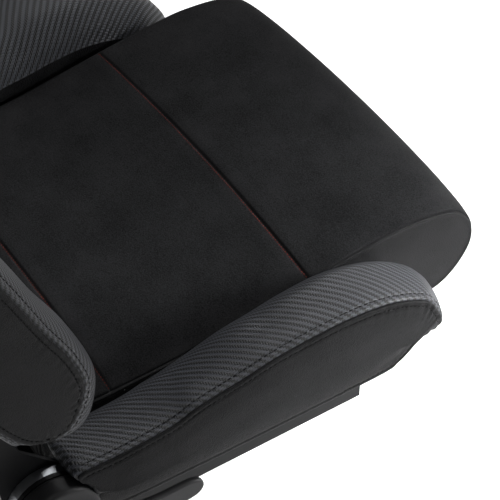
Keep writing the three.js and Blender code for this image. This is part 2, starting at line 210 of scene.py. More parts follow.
def plump(grid, seams, pressure, most, calm=0.5):
    """Cloth pressure swells a coarse copy of the skin between its pinned seams, and the fine
    grid takes that movement, smoothed over its rows and columns, capped at most mm and fading
    out within calm mm of the first seam."""
    rings, count = grid.shape[:2]
    run = across_run(grid, 0).mean(1)
    rows = np.unique(np.searchsorted(run, np.linspace(0, run[-1], int(run[-1] / CLOTH_ROW))))
    rows = np.unique(np.clip(np.concatenate([rows, seams, [0, rings - 1]]), 0, rings - 1))
    spacing = around_run(grid, seams[0])[-1] / count
    columns = np.arange(0, count, max(2, round(CLOTH_COLUMN / spacing)))
    coarse = grid[np.ix_(rows, columns)]
    r, c = len(rows), len(columns)
    ids = np.arange(r * c).reshape(r, c)
    i, j = np.meshgrid(np.arange(r - 1), np.arange(c), indexing="ij")
    k = (j + 1) % c
    faces = np.stack([ids[i, j], ids[i + 1, j], ids[i + 1, k], ids[i, k]], -1).reshape(-1, 4)
    flat = coarse.reshape(-1, 3)
    same = np.unique(np.round(flat, 6), axis=0, return_inverse=True)[1].reshape(-1)
    kept = np.unique(same, return_index=True)[1]
    mesh = bpy.data.meshes.new("swelling")
    faces = same[faces]
    whole = [list(dict.fromkeys(face)) for face in faces.tolist()]
    mesh.from_pydata(flat[kept], [], [face for face in whole if len(face) > 2])
    bag = bpy.data.objects.new("swelling", mesh)
    bpy.context.scene.collection.objects.link(bag)
    work = bmesh.new()
    work.from_mesh(mesh)
    bmesh.ops.recalc_face_normals(work, faces=work.faces)
    work.to_mesh(mesh)
    work.free()
    pins = bag.vertex_groups.new(name="seams")
    pins.add(np.unique(same[ids[np.isin(rows, seams)].reshape(-1)]).tolist(), 1.0, "REPLACE")
    cloth = bag.modifiers.new("cloth", "CLOTH")
    cloth.settings.use_pressure = True
    cloth.settings.uniform_pressure_force = pressure
    cloth.settings.vertex_group_mass = "seams"
    cloth.settings.effector_weights.gravity = 0
    cloth.settings.tension_stiffness = 25
    cloth.settings.bending_stiffness = 2
    scene = bpy.context.scene
    for step in range(1, CLOTH_FRAMES + 1):
        scene.frame_set(step)
    swollen = bag.evaluated_get(bpy.context.evaluated_depsgraph_get()).to_mesh()
    moved = np.empty(len(kept) * 3)
    swollen.vertices.foreach_get("co", moved)
    moved = moved.reshape(-1, 3) - flat[kept]
    length = np.linalg.norm(moved, axis=1, keepdims=True) + 1e-12
    moved *= np.minimum(1, most * MM / length)
    scene.frame_set(1)
    bpy.data.objects.remove(bag)
    moved = moved[same].reshape(r, c, 3)
    moved = catmull(moved, np.interp(np.arange(rings), rows, np.arange(r)))
    moved = np.concatenate([moved[:, -1:], moved, moved[:, :2]], axis=1).swapaxes(0, 1)
    at = 1 + np.interp(np.arange(count), np.append(columns, count), np.arange(c + 1))
    still = smooth(0, calm, np.abs(across_run(grid, seams[0])))[..., None]
    return grid + catmull(moved, at).swapaxes(0, 1) * still


# ---- meshes ----
def tidy_mesh(mesh):
    """Merges doubles, drops faces of no area and turns every face outwards."""
    work = bmesh.new()
    work.from_mesh(mesh)
    bmesh.ops.remove_doubles(work, verts=work.verts, dist=2e-6)
    bmesh.ops.dissolve_degenerate(work, dist=1e-6, edges=work.edges)
    bmesh.ops.recalc_face_normals(work, faces=work.faces)
    work.to_mesh(mesh)
    work.free()
    mesh.shade_smooth()


def made(name, points, faces, body, materials, face_material=None, uvs=None):
    """A piece at the origin from points in metres, riding on a body."""
    mesh = bpy.data.meshes.new(name)
    mesh.from_pydata(points.reshape(-1, 3), [], faces.tolist())
    for material in materials:
        mesh.materials.append(material)
    if face_material is not None:
        mesh.polygons.foreach_set("material_index", face_material.reshape(-1).astype(np.int32))
    if uvs is not None:
        mesh.uv_layers.new(name="UVMap").data.foreach_set("uv", uvs.reshape(-1))
    piece = bpy.data.objects.new(name, mesh)
    bpy.context.scene.collection.objects.link(piece)
    tidy_mesh(mesh)
    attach(piece, body)
    return piece


def skin_piece(name, grid, body, materials, gap_material, seam):
    """A closed skin over rings. Its UV runs in metres: along the seam ring, and across it
    outwards. gap_material gives each gap between rings, or each face, its material."""
    rings, count = grid.shape[:2]
    r, j = np.meshgrid(np.arange(rings - 1), np.arange(count), indexing="ij")
    k = (j + 1) % count
    faces = np.stack([r * count + j, (r + 1) * count + j, (r + 1) * count + k, r * count + k], -1)
    along = around_run(grid, seam) * MM
    over = across_run(grid, seam) * MM
    over = -over.mean(1)
    uv = np.stack([along[j], over[r], along[j], over[r + 1],
                   along[j + 1], over[r + 1], along[j + 1], over[r]], -1)
    gap = np.broadcast_to(np.asarray(gap_material).reshape(rings - 1, -1), (rings - 1, count))
    return made(name, grid, faces.reshape(-1, 4), body, materials, gap, uv)


def stitches(name, line, normal, body, material, slot, pitch, length, radius):
    """Thread along a line: every pitch one bead of the given length lies on the surface.
    A bead is a ring of 6 carried along it, narrowed and dipped at both ends. Sizes in mm."""
    run = run_of(line) / MM
    places = np.arange(pitch, run[-1] - pitch, pitch)
    at, up, ahead = (np.stack([np.interp(places + more, run, values[:, k]) for k in range(3)], 1)
                     for values, more in ((line, 0), (normal, 0), (line, pitch / 4)))
    ahead -= at
    ahead /= np.linalg.norm(ahead, axis=1, keepdims=True)
    up -= ahead * np.sum(up * ahead, axis=1, keepdims=True)
    up /= np.linalg.norm(up, axis=1, keepdims=True)
    side = np.cross(ahead, up)
    stations = np.array([-0.5, -0.36, 0.0, 0.36, 0.5]) * length * MM
    widths = np.array([0.25, 0.85, 1.0, 0.85, 0.25]) * radius * MM
    dips = np.array([-1.3, -0.1, 0.35, -0.1, -1.3]) * radius * MM
    turn = np.arange(6) * math.pi / 3
    points = (at[:, None, None] + ahead[:, None, None] * stations[None, :, None, None]
              + up[:, None, None] * (dips[:, None] + widths[:, None] * np.sin(turn))[..., None]
              + side[:, None, None] * (widths[:, None] * np.cos(turn))[..., None])
    n, r, j = np.meshgrid(np.arange(len(places)), np.arange(4), np.arange(6), indexing="ij")
    base, k = n * 30 + r * 6, (j + 1) % 6
    sides = np.stack([base + j, base + k, base + 6 + k, base + 6 + j], -1).reshape(-1, 4)
    caps = np.array([[0, 1, 2, 3], [0, 3, 4, 5], [24, 25, 26, 27], [24, 27, 28, 29]])
    caps = (np.arange(len(places))[:, None, None] * 30 + caps).reshape(-1, 4)
    return made(name, points, np.concatenate([sides, caps]), body, [material])


# ---- materials ----
def linear(hex_colour):
    """sRGB hex to linear RGBA."""
    channels = [int(hex_colour[i:i + 2], 16) / 255 for i in (1, 3, 5)]
    return [c / 12.92 if c <= 0.04045 else ((c + 0.055) / 1.055) ** 2.4 for c in channels] + [1]


def add(tree, kind, settings=None, inputs=None):
    """Adds a node with its settings; each input takes a value, or a link from a socket."""
    new = tree.nodes.new("ShaderNode" + kind)
    for key, value in (settings or {}).items():
        setattr(new, key, value)
    for key, value in (inputs or {}).items():
        if isinstance(value, bpy.types.NodeSocket):
            tree.links.new(value, new.inputs[key])
        else:
            new.inputs[key].default_value = value
    return new


def material(name, **surface):
    """A Principled material with its constants on the shader: returns it, its tree, its shader."""
    new = bpy.data.materials.new(name)
    new.use_nodes = True
    shader = new.node_tree.nodes["Principled BSDF"]
    for key, value in surface.items():
        shader.inputs[key.replace("_", " ")].default_value = value
    return new, new.node_tree, shader


def microsuede():
    """Brushed polyester microsuede: a short nap with no gloss, cloudy where it lies differently,
    paler where it is seen at a low angle."""
    new, tree, shader = material("black microsuede", Roughness=0.95, Sheen_Weight=0.08,
                                 Sheen_Roughness=0.45, Sheen_Tint=linear("#8c8c8c"),
                                 Specular_IOR_Level=0.06)
    place = add(tree, "TexCoord").outputs["Object"]
    # nap clouds are 20 to 60 mm wide
    clouds = add(tree, "TexNoise", None, {"Vector": place, "Scale": 22.0, "Detail": 4.0,
                                          "Roughness": 0.6})
    # nap tufts are 0.3 mm; drawn at 1.1 mm so that they show
    tufts = add(tree, "TexNoise", None, {"Vector": place, "Scale": 900.0, "Detail": 2.0})
    both = add(tree, "Math", {"operation": "MULTIPLY_ADD"},
               {0: tufts.outputs["Fac"], 1: 2.0, 2: clouds.outputs["Fac"]})
    shade = add(tree, "MapRange", None, {"Value": both.outputs[0], "From Min": 1.05,
                                         "From Max": 1.95})
    colour = add(tree, "Mix", {"data_type": "RGBA"},
                 {0: shade.outputs[0], 6: linear("#0e0e0f"), 7: linear("#272728")})
    relief = add(tree, "Bump", None, {"Height": tufts.outputs["Fac"], "Strength": 0.35,
                                      "Distance": 0.0004})
    tree.links.new(colour.outputs[2], shader.inputs["Base Color"])
    tree.links.new(relief.outputs[0], shader.inputs["Normal"])
    return new


def grained_vinyl(name, dark, pale, gloss):
    """Fine-grained calendered vinyl: pebbles under a millimetre, satin, a little uneven in tone,
    with painted shade: pebble tops painted paler and the hollows between pebbles darker.
    """
    new, tree, shader = material(name, Roughness=gloss, Specular_IOR_Level=0.08)
    place = add(tree, "TexCoord").outputs["Object"]
    # leather pebbles are 0.8 mm; drawn at 1.1 mm so that they show
    pebbles = add(tree, "TexVoronoi", None, {"Vector": place, "Scale": 900.0})
    drift = add(tree, "TexNoise", None, {"Vector": place, "Scale": 30.0, "Detail": 3.0})
    # painted shade: colour is paler on each pebble's top and darker towards its edge, as light falls
    # on the grain; the drift noise adds uneven tone
    pebble_shade_and_drift = add(tree, "Math", {"operation": "MULTIPLY_ADD"},
               {0: pebbles.outputs["Distance"], 1: -0.5, 2: drift.outputs["Fac"]})
    shaded_grain_tone = add(tree, "MapRange", None, {"Value": pebble_shade_and_drift.outputs[0], "From Min": 0.0,
                                        "From Max": 0.55})
    colour = add(tree, "Mix", {"data_type": "RGBA"},
                 {0: shaded_grain_tone.outputs[0], 6: linear(dark), 7: linear(pale)})
    rough = add(tree, "MapRange", None, {"Value": drift.outputs["Fac"], "To Min": gloss - 0.05,
                                         "To Max": gloss + 0.08})
    relief = add(tree, "Bump", {"invert": True}, {"Height": pebbles.outputs["Distance"],
                                                  "Strength": 0.8, "Distance": 0.0004})
    tree.links.new(colour.outputs[2], shader.inputs["Base Color"])
    tree.links.new(rough.outputs[0], shader.inputs["Roughness"])
    tree.links.new(relief.outputs[0], shader.inputs["Normal"])
    return new


TOW = 0.0019


def twill_vinyl():
    """Vinyl embossed with a 2/2 twill of 1.9 mm tows: each tow a low round ridge, and tows that
    run along painted paler than tows that run across, as painted highlight and shade for how
    light catches each direction, in steps that make slanting ribs."""
    new, tree, shader = material("embossed twill vinyl", Roughness=0.5, Specular_IOR_Level=0.5)
    place = add(tree, "UVMap", {"uv_map": "UVMap"}).outputs[0]
    scaled = add(tree, "VectorMath", {"operation": "SCALE"}, {0: place, "Scale": 1 / TOW})
    parts = add(tree, "SeparateXYZ", None, {0: scaled.outputs[0]})
    floors, ridges = [], []
    for part in parts.outputs[:2]:
        floors.append(add(tree, "Math", {"operation": "FLOOR"}, {0: part}).outputs[0])
        inside = add(tree, "Math", {"operation": "FLOORED_MODULO"}, {0: part, 1: 1.0})
        middle = add(tree, "Math", {"operation": "SUBTRACT"}, {0: inside.outputs[0], 1: 0.5})
        square = add(tree, "Math", {"operation": "MULTIPLY"}, {0: middle.outputs[0],
                                                               1: middle.outputs[0]})
        ridges.append(add(tree, "Math", {"operation": "MULTIPLY_ADD"},
                          {0: square.outputs[0], 1: -3.4, 2: 1.0}).outputs[0])
    step = add(tree, "Math", {"operation": "SUBTRACT"}, {0: floors[0], 1: floors[1]})
    turn = add(tree, "Math", {"operation": "FLOORED_MODULO"}, {0: step.outputs[0], 1: 4.0})
    warp = add(tree, "Math", {"operation": "LESS_THAN"}, {0: turn.outputs[0], 1: 1.5})
    height = add(tree, "Mix", {"data_type": "FLOAT"},
                 {0: warp.outputs[0], 2: ridges[0], 3: ridges[1]})
    # painted highlight and shade: tows that run along take the pale colour and tows that run across
    # the dark one, for how light catches each direction
    colour = add(tree, "Mix", {"data_type": "RGBA"},
                 {0: warp.outputs[0], 6: linear("#0f1012"), 7: linear("#3b3d43")})
    gloss = add(tree, "MapRange", None, {"Value": warp.outputs[0], "To Min": 0.58, "To Max": 0.44})
    relief = add(tree, "Bump", None, {"Height": height.outputs[0], "Strength": 0.85,
                                      "Distance": 0.0004})
    tree.links.new(colour.outputs[2], shader.inputs["Base Color"])
    tree.links.new(gloss.outputs[0], shader.inputs["Roughness"])
    tree.links.new(relief.outputs[0], shader.inputs["Normal"])
    return new


def thread(name, dark, pale):
    """Twisted polyester thread: a soft shine and a slant of fine plies."""
    new, tree, shader = material(name, Roughness=0.7, Specular_IOR_Level=0.15)
    place = add(tree, "TexCoord").outputs["Object"]
    # plies are 0.2 mm; drawn at about 1 mm so that they show
    plies = add(tree, "TexWave", {"bands_direction": "DIAGONAL"},
                {"Vector": place, "Scale": 320.0, "Distortion": 1.0})
    colour = add(tree, "Mix", {"data_type": "RGBA"},
                 {0: plies.outputs["Fac"], 6: linear(dark), 7: linear(pale)})
    tree.links.new(colour.outputs[2], shader.inputs["Base Color"])
    return new


def coated_steel():
    """Powder-coated steel: even black with a faint orange peel."""
    new, tree, shader = material("black powder-coated steel", Roughness=0.45,
                                 Specular_IOR_Level=0.12)
    place = add(tree, "TexCoord").outputs["Object"]
    peel = add(tree, "TexNoise", None, {"Vector": place, "Scale": 420.0, "Detail": 2.0})
    drift = add(tree, "TexNoise", None, {"Vector": place, "Scale": 14.0, "Detail": 3.0})
    colour = add(tree, "Mix", {"data_type": "RGBA"},
                 {0: drift.outputs["Fac"], 6: linear("#121213"), 7: linear("#1b1b1c")})
    relief = add(tree, "Bump", None, {"Height": peel.outputs["Fac"], "Strength": 0.2,
                                      "Distance": 0.0003})
    rough = add(tree, "MapRange", None, {"Value": drift.outputs["Fac"], "To Min": 0.38,
                                         "To Max": 0.55})
    tree.links.new(colour.outputs[2], shader.inputs["Base Color"])
    tree.links.new(rough.outputs[0], shader.inputs["Roughness"])
    tree.links.new(relief.outputs[0], shader.inputs["Normal"])
    return new


def zinc_steel():
    """Zinc-plated rolled steel: grey metal with draw lines along the rail and cloudy passivation."""
    new, tree, shader = material("zinc-plated steel", Metallic=1.0, Roughness=0.4)
    place = add(tree, "TexCoord").outputs["Object"]
    # draw lines are 0.3 mm apart and run fore and aft; drawn at 1 mm
    stretched = add(tree, "Mapping", None, {"Vector": place, "Scale": (900.0, 12.0, 900.0)})
    lines = add(tree, "TexNoise", None, {"Vector": stretched.outputs[0], "Scale": 1.0,
                                         "Detail": 2.0})
    clouds = add(tree, "TexNoise", None, {"Vector": place, "Scale": 45.0, "Detail": 4.0})
    colour = add(tree, "Mix", {"data_type": "RGBA"},
                 {0: clouds.outputs["Fac"], 6: linear("#8f9296"), 7: linear("#b9bcc0")})
    rough = add(tree, "MapRange", None, {"Value": lines.outputs["Fac"], "To Min": 0.28,
                                         "To Max": 0.55})
    relief = add(tree, "Bump", None, {"Height": lines.outputs["Fac"], "Strength": 0.15,
                                      "Distance": 0.0002})
    tree.links.new(colour.outputs[2], shader.inputs["Base Color"])
    tree.links.new(rough.outputs[0], shader.inputs["Roughness"])
    tree.links.new(relief.outputs[0], shader.inputs["Normal"])
    return new


def moulded_plastic():
    """Moulded ABS with an etched texture: black, matt, finely pitted."""
    new, tree, shader = material("black textured ABS", Roughness=0.5, Specular_IOR_Level=0.3)
    place = add(tree, "TexCoord").outputs["Object"]
    # spark-etched pits are 0.3 mm; drawn at 0.8 mm
    pits = add(tree, "TexNoise", None, {"Vector": place, "Scale": 1200.0, "Detail": 3.0})
    drift = add(tree, "TexNoise", None, {"Vector": place, "Scale": 20.0})
    colour = add(tree, "Mix", {"data_type": "RGBA"},
                 {0: drift.outputs["Fac"], 6: linear("#161617"), 7: linear("#202022")})
    relief = add(tree, "Bump", None, {"Height": pits.outputs["Fac"], "Strength": 0.3,
                                      "Distance": 0.0003})
    tree.links.new(colour.outputs[2], shader.inputs["Base Color"])
    tree.links.new(relief.outputs[0], shader.inputs["Normal"])
    return new


SUEDE = microsuede()
PANEL_VINYL = grained_vinyl("fine-grained black vinyl", "#0d0d0e", "#1f1f20", 0.5)
UNDER_CLOTH = grained_vinyl("black felt backing", "#141414", "#1d1d1d", 0.9)
TWILL = twill_vinyl()
BLACK_THREAD = thread("black polyester thread", "#060607", "#101011")
RED_THREAD = thread("dark red polyester thread", "#42150f", "#6e251c")
STEEL = coated_steel()
ZINC = zinc_steel()
PLASTIC = moulded_plastic()


# ---- seat cushion ----
PAD_TIP = 11
PAD_OUTLINE = [(-274, 96), (-273, 112), (-262, 117), (-226, 117), (-163, 118), (-102, 122),
               (-9, 137), (54, 146), (97, 150), (142, 145), (166, 134), (181, 112), (182, 88),
               (170, 66), (152, 50), (134, 47), (119, 60), (98, 69), (0, 69), (-150, 69),
               (-260, 70), (-272, 78)]
CHANNELS = (0.0, -CHANNEL_PITCH)


def cushion_pad():
    """Centre cushion: the side outline carried across, crowned on top, boxed at both sides.
    Channels are grooves across it with a soft roll either side."""
    line = outline(PAD_OUTLINE, PAD_TIP, 230, [(0, 138), (-CHANNEL_PITCH, 117)])
    top = smooth(60, 100, line[:, 1]) * smooth(-276, -240, line[:, 0])
    half = [(186, 0, 0, 0), (186.5, 0, 0, 0.5), (186, 0, 0, 0.85), (184.5, 0, 0, 1)]
    over = [(184.5, 0, 0, 1), (178, 0, 2.0, 1), (160, 0, 4.6, 1), (120, 0, 7.6, 1),
            (60, 0, 9.8, 1), (0, 0, 10.5, 1)]
    other = [(-a, b, c, d) for a, b, c, d in over[::-1]]
    far = [(-a, b, c, d) for a, b, c, d in half[::-1]]
    rings, seams = rings_of([(half, 16, "end"), (over + other[1:], 70, "both"),
                             (far, 16, "start")], line, line, top, 34)
    grid = plump(seat(rings[..., 0], rings[..., 1], rings[..., 2]), seams, 1.5, 3)
    normal = normals_of(grid)
    run = [across_run(grid, seam) for seam in seams]
    forward = rings[..., 0]
    on_top = (np.abs(rings[..., 1]) < 184.9) & (rings[..., 2] > 85)
    relief = np.zeros(grid.shape[:2])
    for place in CHANNELS:
        near = forward - place
        relief += on_top * (-1.7 * bump(near - 0.8, 1.5) + 0.5 * bump(np.abs(near) - 8, 7))
    for edge, sign in zip(run, (1, -1)):
        relief += -2.2 * bump(edge, 1.1) + 1.1 * bump(sign * edge + 2.8, 1.4)
    grid = grid + normal * relief[..., None] * MM
    gaps = len(grid) - 1
    gap = np.ones((gaps, len(line)), int)
    inside = (np.arange(gaps) >= seams[0]) & (np.arange(gaps) < seams[1])
    gap[inside] = np.where((line[:, 1] > 76) | (line[:, 0] > 120), 0, 2)
    piece = skin_piece("cushion_pad", grid, "seat_base", [SUEDE, PANEL_VINYL, UNDER_CLOTH],
                       gap, seams[0])
    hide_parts("cushion_center_pad")
    normal = normals_of(grid)
    for name, place in zip(("front", "rear"), CHANNELS):
        column = np.argmin(np.abs(line[:, 0] - place) + 1000 * (line[:, 1] < 85))
        rows = slice(seams[0] + 3, seams[1] - 3)
        raised = grid[rows, column] + normal[rows, column] * 0.5 * MM
        stitches(f"cushion_channel_thread_{name}", raised, normal[rows, column], "seat_base",
                 RED_THREAD, "suede", *RED_STITCH)


BOLSTER_TIP = 15
BOLSTER_OUTER = [(-272, 138), (-281, 148), (-279, 156), (-243, 156), (-206, 158), (-187, 161),
                 (-168, 168), (-129, 174), (-91, 181), (-41, 184), (-1, 182), (30, 175),
                 (61, 159), (74, 140), (80.5, 124), (81, 112), (77, 102.5), (70, 92), (60, 81),
                 (46, 71.5), (28, 66.5), (-58, 66), (-160, 67), (-250, 72), (-264, 100)]
BOLSTER_INNER = [(-272, 132), (-281, 140), (-276, 144), (-242, 141), (-202, 143), (-182, 146),
                 (-153, 152), (-104, 167), (-74, 172), (-41, 178), (-3, 180), (39, 171),
                 (72, 152), (93, 129), (101, 113), (98, 104), (89, 96), (79, 89), (67, 82),
                 (48, 73), (27, 68), (-58, 66), (-160, 67), (-250, 72), (-264, 98)]


def bolster_piece(name, outer, inner, tip, profile, place, body, node, margin, hem):
    """A side bolster: an outer panel, a twill band over the top and an inner panel, boxed
    between two outlines, with a groove at the outer seam, a dimpled thread row either side of
    it, and puckers that gather towards its tip. Builds both sides."""
    first, second = outline(outer, tip, 200), outline(inner, tip, 200)
    tip_place = outer[tip]
    lift, tuck = np.ones(len(first)), 0.0
    if hem is not None:
        lift = smooth(hem, hem + 25, first[:, 1])
        tuck = 0.19 * smooth(hem + 62, hem + 12, first[:, 1])
    panel, band, hidden = profile
    rings, seams = rings_of([(panel, 34, "end"), (band, 60, "start"), (hidden, 12, "start")],
                            first, second, lift, margin, tuck)
    for side, sign in SIDES:
        grid = place(rings[..., 0], rings[..., 1] * sign, rings[..., 2])
        grid = plump(grid, seams[:1], 0.7, 1.4, 26)
        normal = normals_of(grid)
        run = across_run(grid, seams[0])
        along = around_run(grid, seams[0])[:-1]
        near_tip = bump(np.linalg.norm(first - np.array(tip_place), axis=1), 75)
        near_tip = near_tip * (np.arange(len(first)) < len(first) * 0.53)
        relief = -2.4 * bump(run, 1.3) + 0.1 * bump(np.abs(run) - 3.6, 1.6)
        relief += -0.7 * bump(np.abs(run) - THREAD_ROW, 1.4)
        pucker = waves(along, (9.5, 11.5, 14.0), 5)
        relief += pucker * (0.12 + 0.75 * near_tip) * bump(run + 7, 7.5)
        relief += 0.35 * pucker * (0.1 + 0.6 * near_tip) * bump(run - 7, 6)
        relief += 0.5 * waves(along, (62.0, 95.0, 140.0), 8) * bump(run - 30, 26)
        grid = grid + normal * relief[..., None] * MM
        gaps = np.arange(len(grid) - 1)
        gap = np.where((gaps >= seams[0]) & (gaps < seams[1]), 0, 1)
        piece = skin_piece(f"{name}_{side}", grid, body, [TWILL, PANEL_VINYL],
                           gap, seams[0])
        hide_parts(f"{node}_{side}")
        normal = normals_of(grid)
        lower = len(first) // 2 + 60
        for label, distance in (("band", THREAD_ROW), ("panel", -THREAD_ROW)):
            ring = np.argmin(np.abs(run - distance), axis=0)[8:lower]
            columns = np.arange(8, lower)
            row = grid[ring, columns]
            kernel = np.ones(9) / 9
            row = np.stack([np.convolve(np.pad(row[:, k], 4, "edge"), kernel, "valid")
                            for k in range(3)], 1)
            up = normal[ring, columns]
            stitches(f"{name}_{label}_thread_{side}", row + up * 0.25 * MM, up, body,
                     BLACK_THREAD, "carbon_vinyl", *BLACK_STITCH)


CUSHION_BOLSTER_PROFILE = (
    [(278, 0, 0, 0), (277.9, 0, 0, 0.4), (277.5, 0, 0, 0.75), (276.7, 0, 0, 0.93),
     (275, 0, 0, 1)],
    [(275, 0, 0, 1), (266, 0.15, 1.8, 1), (252, 0.42, 2.8, 1), (236, 0.75, 1.6, 1),
     (222, 1, -1, 1), (210, 1, -7, 0.95), (199, 1, -14, 0.84), (193, 1, -18, 0.66)],
    [(193, 1, -18, 0.66), (192, 1, -6, 0.3), (192, 1, 0, 0)])

BACK_BOLSTER_TIP = 10
BACK_BOLSTER_OUTER = [(50, 392), (84, 378), (97, 330), (98, 260), (97, 198), (98, 160),
                      (94, 126), (86, 111), (74, 98), (62, 90), (50, 88), (36, 96), (24, 116),
                      (18, 160), (17, 250), (18, 350), (28, 384)]
BACK_BOLSTER_INNER = [(52, 405), (92, 386), (106, 330), (108, 260), (107, 198), (109, 150),
                      (106, 110), (97, 86), (85, 67), (75, 58), (64, 57), (44, 75), (24, 88),
                      (15, 110), (15, 250), (15, 370), (24, 400)]
BACK_BOLSTER_PROFILE = (
    [(280, 0, 0, 0), (279.5, 0, 0, 0.5), (278, 0, 0, 0.85), (275, 0, 0, 1)],
    [(275, 0, 0, 1), (270, 0.4, 0, 1), (261, 0.8, 0, 1), (248, 1, 0, 1), (232, 1, -0.5, 1),
     (215, 1, -4, 0.97), (202, 1, -3, 0.86), (193, 1, 0, 0.64)],
    [(193, 1, 0, 0.64), (192, 1, 0, 0.3), (192, 1, 0, 0)])

BACK_CHANNELS = (150.0, 150.0 + CHANNEL_PITCH)
SLOTS = ((-92.0, 556.0), (92.0, 556.0))  # harness slot centres, across and up
SLOT_HOLE = (48.4, 26.4)  # half sizes that the surrounds fill


def rounded_box(half_across, half_up, radius, count):
    """Closed outline of a box with round corners: a circle of the corner radius, pushed out to
    the four corners by its angle."""
    turn = math.pi / 2 - (np.arange(count) + 0.5) * 2 * math.pi / count
    push = np.stack([np.sign(np.cos(turn)) * (half_across - radius),
                     np.sign(np.sin(turn)) * (half_up - radius)], 1)
    return push + radius * np.stack([np.cos(turn), np.sin(turn)], 1)


def cut_slots(piece):
    """Cuts the two harness slots through a piece with rounded prisms, which are then deleted."""
    shape = rounded_box(*SLOT_HOLE, 12, 48)
    count = len(shape)
    j = np.arange(count)
    walls = np.stack([j, (j + 1) % count, (j + 1) % count + count, j + count], 1).tolist()
    for across, up in SLOTS:
        ends = [back(depth, shape[:, 0] + across, shape[:, 1] + up) for depth in (-60, 110)]
        mesh = bpy.data.meshes.new("slot_cutter")
        mesh.from_pydata(np.concatenate(ends), [],
                         walls + [list(range(count))[::-1], list(range(count, 2 * count))])
        cutter = bpy.data.objects.new("slot_cutter", mesh)
        bpy.context.scene.collection.objects.link(cutter)
        tidy_mesh(mesh)
        cut = piece.modifiers.new("slot", "BOOLEAN")
        cut.operation, cut.solver, cut.object = "DIFFERENCE", "MANIFOLD", cutter
        shown = piece.evaluated_get(bpy.context.evaluated_depsgraph_get())
        old, piece.data = piece.data, bpy.data.meshes.new_from_object(shown)
        piece.modifiers.clear()
        bpy.data.meshes.remove(old)
        bpy.data.objects.remove(cutter)


def front_pad(name, node, shape, tip, depths, margin, finish, half=160, channels=(),
              slotted=False, side=1):
    """A backrest pad drawn in front view: a domed front panel, a gusset and a flat rear, with
    a groove and a rolled edge where panel and gusset are sewn. depths are the dome's middle,
    the seam and the rear. Channels are grooves straight across the front. A slotted pad is
    glued flat round its slots, so it isn't swollen."""
    middle, seam, rear = depths
    drop = middle - seam
    busy = [(x * 185, up) for up in channels for x in (-1, 1)]
    line = outline(shape, tip, half, busy)
    panel = [(middle, 0, 0, 0), (middle - 0.04 * drop, 0, 0, 0.4),
             (middle - 0.25 * drop, 0, 0, 0.75), (middle - 0.55 * drop, 0, 0, 0.92),
             (seam, 0, 0, 1)]
    gusset = [(seam, 0, 0, 1), (seam + (rear - seam) * 0.35, 0, 1.2, 1),
              (seam + (rear - seam) * 0.75, 0, 0.4, 1), (rear, 0, -2.5, 1)]
    under = [(rear, 0, -2.5, 1), (rear, 0, -1, 0.5), (rear, 0, 0, 0)]
    rings, seams = rings_of([(panel, 40, "end"), (gusset, 16, "start"), (under, 8, "start")],
                            line, line, np.ones(len(line)), margin)
    grid = back_front_view(rings[..., 0] * side, rings[..., 1], rings[..., 2])
    if not slotted:
        grid = plump(grid, seams, 1.5, BACK_SWELL)
    normal, run = normals_of(grid), across_run(grid, seams[0])
    on_front = (np.arange(len(grid)) <= seams[0])[:, None]
    relief = -1.8 * bump(run, 1.4) + 0.5 * bump(np.abs(run) - 3.4, 1.6)
    for up in channels:
        near = rings[..., 2] - up
        relief = relief + on_front * (-2.6 * bump(near, 1.9) + 0.9 * bump(np.abs(near) - 9, 8))
    grid = grid + normal * relief[..., None] * MM
    gap = np.where(np.arange(len(grid) - 1) < seams[0], 0, 1)
    piece = skin_piece(name, grid, "backrest", [finish, PANEL_VINYL], gap, seams[0])
    if slotted:
        cut_slots(piece)
    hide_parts(node)
    normal = normals_of(grid)
    for number, up in enumerate(channels):
        column = np.argmin(np.abs(line[:, 1] - up) + 1000 * (line[:, 0] < 0))
        places = np.arange(1, seams[0] - 2)
        rows = np.concatenate([places[::-1], places])
        columns = np.where(np.arange(len(rows)) < len(places), column, len(line) - column)
        up_way = normal[rows, columns]
        stitches(f"back_channel_thread_{number + 1}", grid[rows, columns] + up_way * 0.5 * MM,
                 up_way, "backrest", RED_THREAD, "suede", *RED_STITCH)
    return piece


def boxed_plate(name, node, shape, tip, depths, soft, place, body, finish, margin, side=1):
    """A moulded plate with rounded edges: flat faces at the two depths, and an edge that rolls
    over by soft millimetres on a quarter-circle at each face."""
    line = outline(shape, tip, 60)
    front, rear = depths
    turn = np.linspace(0, math.pi / 2, 6)
    roll = [(front - soft * (1 - math.cos(a)), 0, soft * (math.sin(a) - 1), 1) for a in turn]
    home = [(rear + soft * (1 - math.cos(a)), 0, soft * (math.sin(a) - 1), 1)
            for a in turn[::-1]]
    rings, seams = rings_of([([(front, 0, 0, 0), (front, 0, 0, 0.5), (front, 0, -soft, 1)], 8,
                              "both"), (roll + home, 24, "both"),
                             ([(rear, 0, -soft, 1), (rear, 0, 0, 0.5), (rear, 0, 0, 0)], 8,
                              "both")], line, line, np.ones(len(line)), margin)
    grid = place(rings[..., 0], rings[..., 1] * side, rings[..., 2])
    piece = skin_piece(name, grid, body, [finish], np.zeros(len(grid) - 1), seams[0])
    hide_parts(node)
    return piece


def slot_surround(side, sign):
    """Moulded harness slot surround: a flanged wall profile carried round the slot's rounded
    box, from the rear lip to the rolled front flange."""
    path = rounded_box(45, 23, 9, 72)
    way = outward(path)
    profile = np.array([(-2.6, -30), (-3, 0), (-2.6, 40), (-0.5, 44.4), (3.5, 45.6), (8, 44.8),
                        (9.6, 42.9), (8, 41.4), (3.4, 41), (2.6, 20), (2.6, -27.6), (6.5, -28.4),
                        (7.6, -29.6), (6, -30.8), (0, -31)])
    wrapped = np.concatenate([profile[-2:], profile, profile[:3]])
    count = len(profile)
    dense = catmull(wrapped, np.linspace(2, count + 2, 4 * count + 1))[:-1]
    shape = path[:, None] + way[:, None] * dense[None, :, :1]
    grid = back(dense[None, :, 1], shape[..., 0] + sign * 92, shape[..., 1] + 556)
    grid = np.concatenate([grid, grid[:1]])
    piece = skin_piece(f"harness_slot_surround_{side}", grid, "backrest", [PLASTIC],
                       np.zeros(len(grid) - 1), 0)
    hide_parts(f"harness_bezel_{side}")


